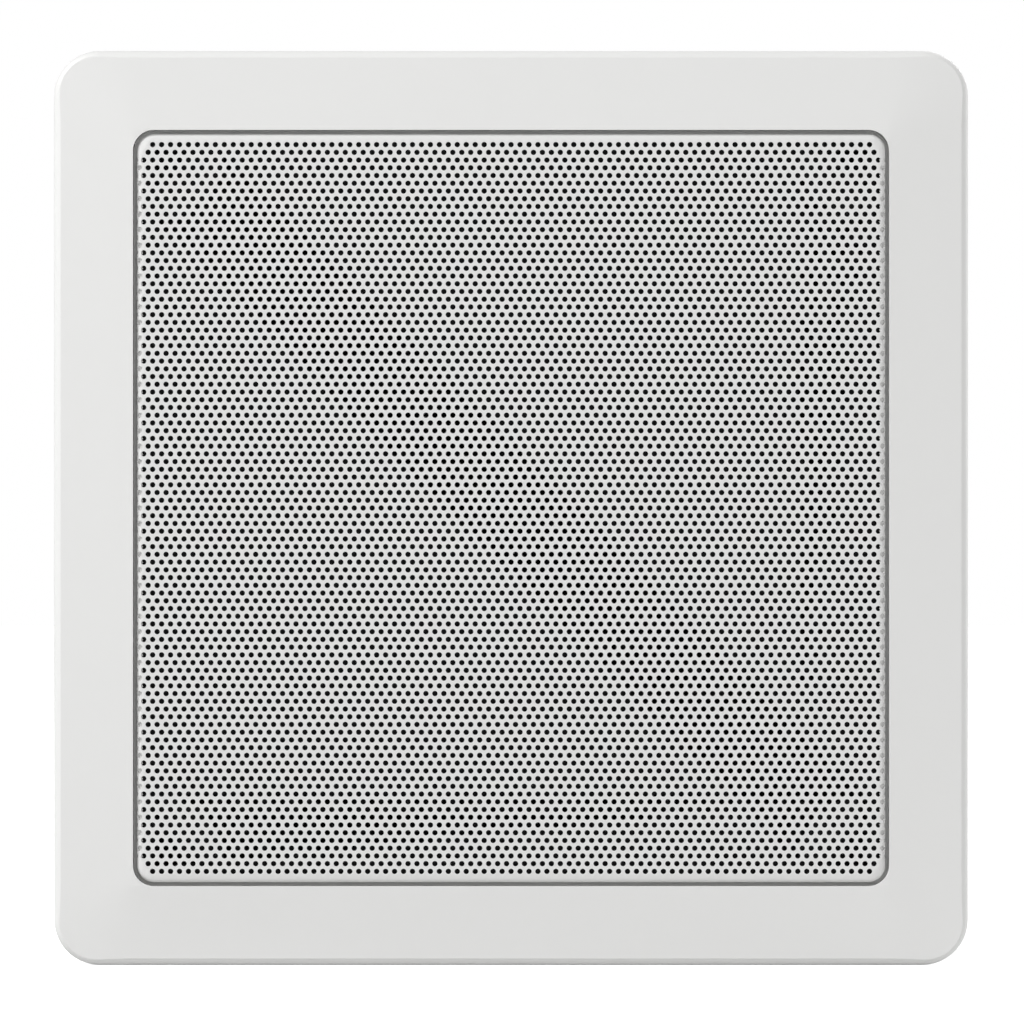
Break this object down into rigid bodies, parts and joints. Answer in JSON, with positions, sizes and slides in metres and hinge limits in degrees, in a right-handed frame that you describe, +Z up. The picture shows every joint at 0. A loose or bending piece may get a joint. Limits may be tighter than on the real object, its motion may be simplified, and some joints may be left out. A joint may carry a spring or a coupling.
{
  "type": "in-wall loudspeaker",
  "caption": "Square flush-mount two-way loudspeaker with a sloping white frame, a perforated steel grille, a coaxial driver and swing-out wall clamps.",
  "frame": {"origin": "centre of the wall cut-out, in the plane of the wall's room side", "axes": "+X to the right as seen from the room, -Y out of the wall towards the listener, +Z up the wall"},
  "size_m": [0.242, 0.1141, 0.242],
  "materials": {
    "white_moulding": "fine matt paintable finish",
    "white_steel": "smooth matt white powder coat",
    "black_cloth": "thin open scrim cloth",
    "foam": "closed-cell foam",
    "black_steel": "black coat on pressed steel",
    "butyl": "soft satin rubber",
    "cone_plastic": "filled polypropylene with a faint grain",
    "cap_plastic": "satin",
    "spider_cloth": "resin-stiffened woven cotton",
    "former": "thin foil",
    "copper": "enamelled copper wire",
    "plated_steel": "zinc plated",
    "ferrite": "ground ferrite",
    "black_plastic": "fine spark-eroded texture",
    "black_screw": "black oxide",
    "silk": "coated silk",
    "neodymium": "nickel plated",
    "circuit_board": "solder mask",
    "film": "shrunk film sleeve",
    "cement": "cement-filled ceramic case",
    "tag_brass": "tinned brass",
    "terminal_board": "phenolic laminate",
    "red_plastic": "moulded",
    "black_button": "moulded",
    "lead_sheath": "soft PVC",
    "clamp_plastic": "glass-filled nylon"
  },
  "bodies": {
    "housing": {"frame": "white_moulding", "wall_seal": "foam", "woofer_seal": "foam", "woofer_basket": "black_steel", "woofer_trim_ring": "black_plastic", "woofer_surround": "butyl", "spider": "spider_cloth", "top_plate": "plated_steel", "magnet": "ferrite", "yoke": "plated_steel", "woofer_terminal": "terminal_board", "woofer_screws": "black_screw", "tweeter_bridge": "black_plastic", "bridge_screws": "black_screw", "tweeter_waveguide": "black_plastic", "tweeter_dome": "silk", "tweeter_voice_coil": "copper", "tweeter_pole_plate": "plated_steel", "tweeter_magnet": "neodymium", "tweeter_cup": "black_steel", "crossover_cup": "black_plastic", "crossover_board": "circuit_board", "woofer_inductor": "copper", "tweeter_inductor": "copper", "woofer_capacitor": "film", "tweeter_capacitor": "film", "tweeter_resistor": "cement", "board_screws": "plated_steel", "cup_screws": "plated_steel", "terminal_block": "black_plastic", "terminal_contacts": "tag_brass", "woofer_lead": "lead_sheath", "tweeter_lead": "lead_sheath"},
    "grille": {"grille": "white_steel", "grille_scrim": "black_cloth"},
    "cone": {"woofer_cone": "cone_plastic", "dust_cap": "cap_plastic", "voice_coil_former": "former", "voice_coil": "copper"},
    "button_red": {"terminal_button_red": "red_plastic"},
    "button_black": {"terminal_button_black": "black_button"},
    "clamp_screw_1": {"clamp_screw_1": "plated_steel"},
    "clamp_1": {"clamp_1": "clamp_plastic"},
    "clamp_screw_2": {"clamp_screw_2": "plated_steel"},
    "clamp_2": {"clamp_2": "clamp_plastic"},
    "clamp_screw_3": {"clamp_screw_3": "plated_steel"},
    "clamp_3": {"clamp_3": "clamp_plastic"},
    "clamp_screw_4": {"clamp_screw_4": "plated_steel"},
    "clamp_4": {"clamp_4": "clamp_plastic"}
  },
  "joints": [
    {"name": "grille_pull", "type": "slide", "parent": "housing", "child": "grille", "axis": [0, -1, 0], "range_m": [0, 0.03]},
    {"name": "cone_travel", "type": "slide", "parent": "housing", "child": "cone", "axis": [0, -1, 0], "range_m": [-0.004, 0.004], "stiffness_N_per_m": 1200, "deforming": ["woofer_surround", "spider"]},
    {"name": "clamp_swing_1", "type": "hinge", "parent": "housing", "child": "clamp_screw_1", "pos_m": [0.093, 0.038, 0.072], "axis": [0, 1, 0], "range_deg": [0, 90]},
    {"name": "clamp_climb_1", "type": "slide", "parent": "clamp_screw_1", "child": "clamp_1", "axis": [0, -1, 0], "range_m": [0, 0.028]},
    {"name": "clamp_swing_2", "type": "hinge", "parent": "housing", "child": "clamp_screw_2", "pos_m": [-0.072, 0.038, 0.093], "axis": [0, 1, 0], "range_deg": [0, 90]},
    {"name": "clamp_climb_2", "type": "slide", "parent": "clamp_screw_2", "child": "clamp_2", "axis": [0, -1, 0], "range_m": [0, 0.028]},
    {"name": "clamp_swing_3", "type": "hinge", "parent": "housing", "child": "clamp_screw_3", "pos_m": [-0.093, 0.038, -0.072], "axis": [0, 1, 0], "range_deg": [0, 90]},
    {"name": "clamp_climb_3", "type": "slide", "parent": "clamp_screw_3", "child": "clamp_3", "axis": [0, -1, 0], "range_m": [0, 0.028]},
    {"name": "clamp_swing_4", "type": "hinge", "parent": "housing", "child": "clamp_screw_4", "pos_m": [0.072, 0.038, -0.093], "axis": [0, 1, 0], "range_deg": [0, 90]},
    {"name": "clamp_climb_4", "type": "slide", "parent": "clamp_screw_4", "child": "clamp_4", "axis": [0, -1, 0], "range_m": [0, 0.028]},
    {"name": "button_press_red", "type": "slide", "parent": "housing", "child": "button_red", "axis": [0, -1, 0], "range_m": [0, 0.003], "stiffness_N_per_m": 350},
    {"name": "button_press_black", "type": "slide", "parent": "housing", "child": "button_black", "axis": [0, -1, 0], "range_m": [0, 0.003], "stiffness_N_per_m": 350}
  ]
}
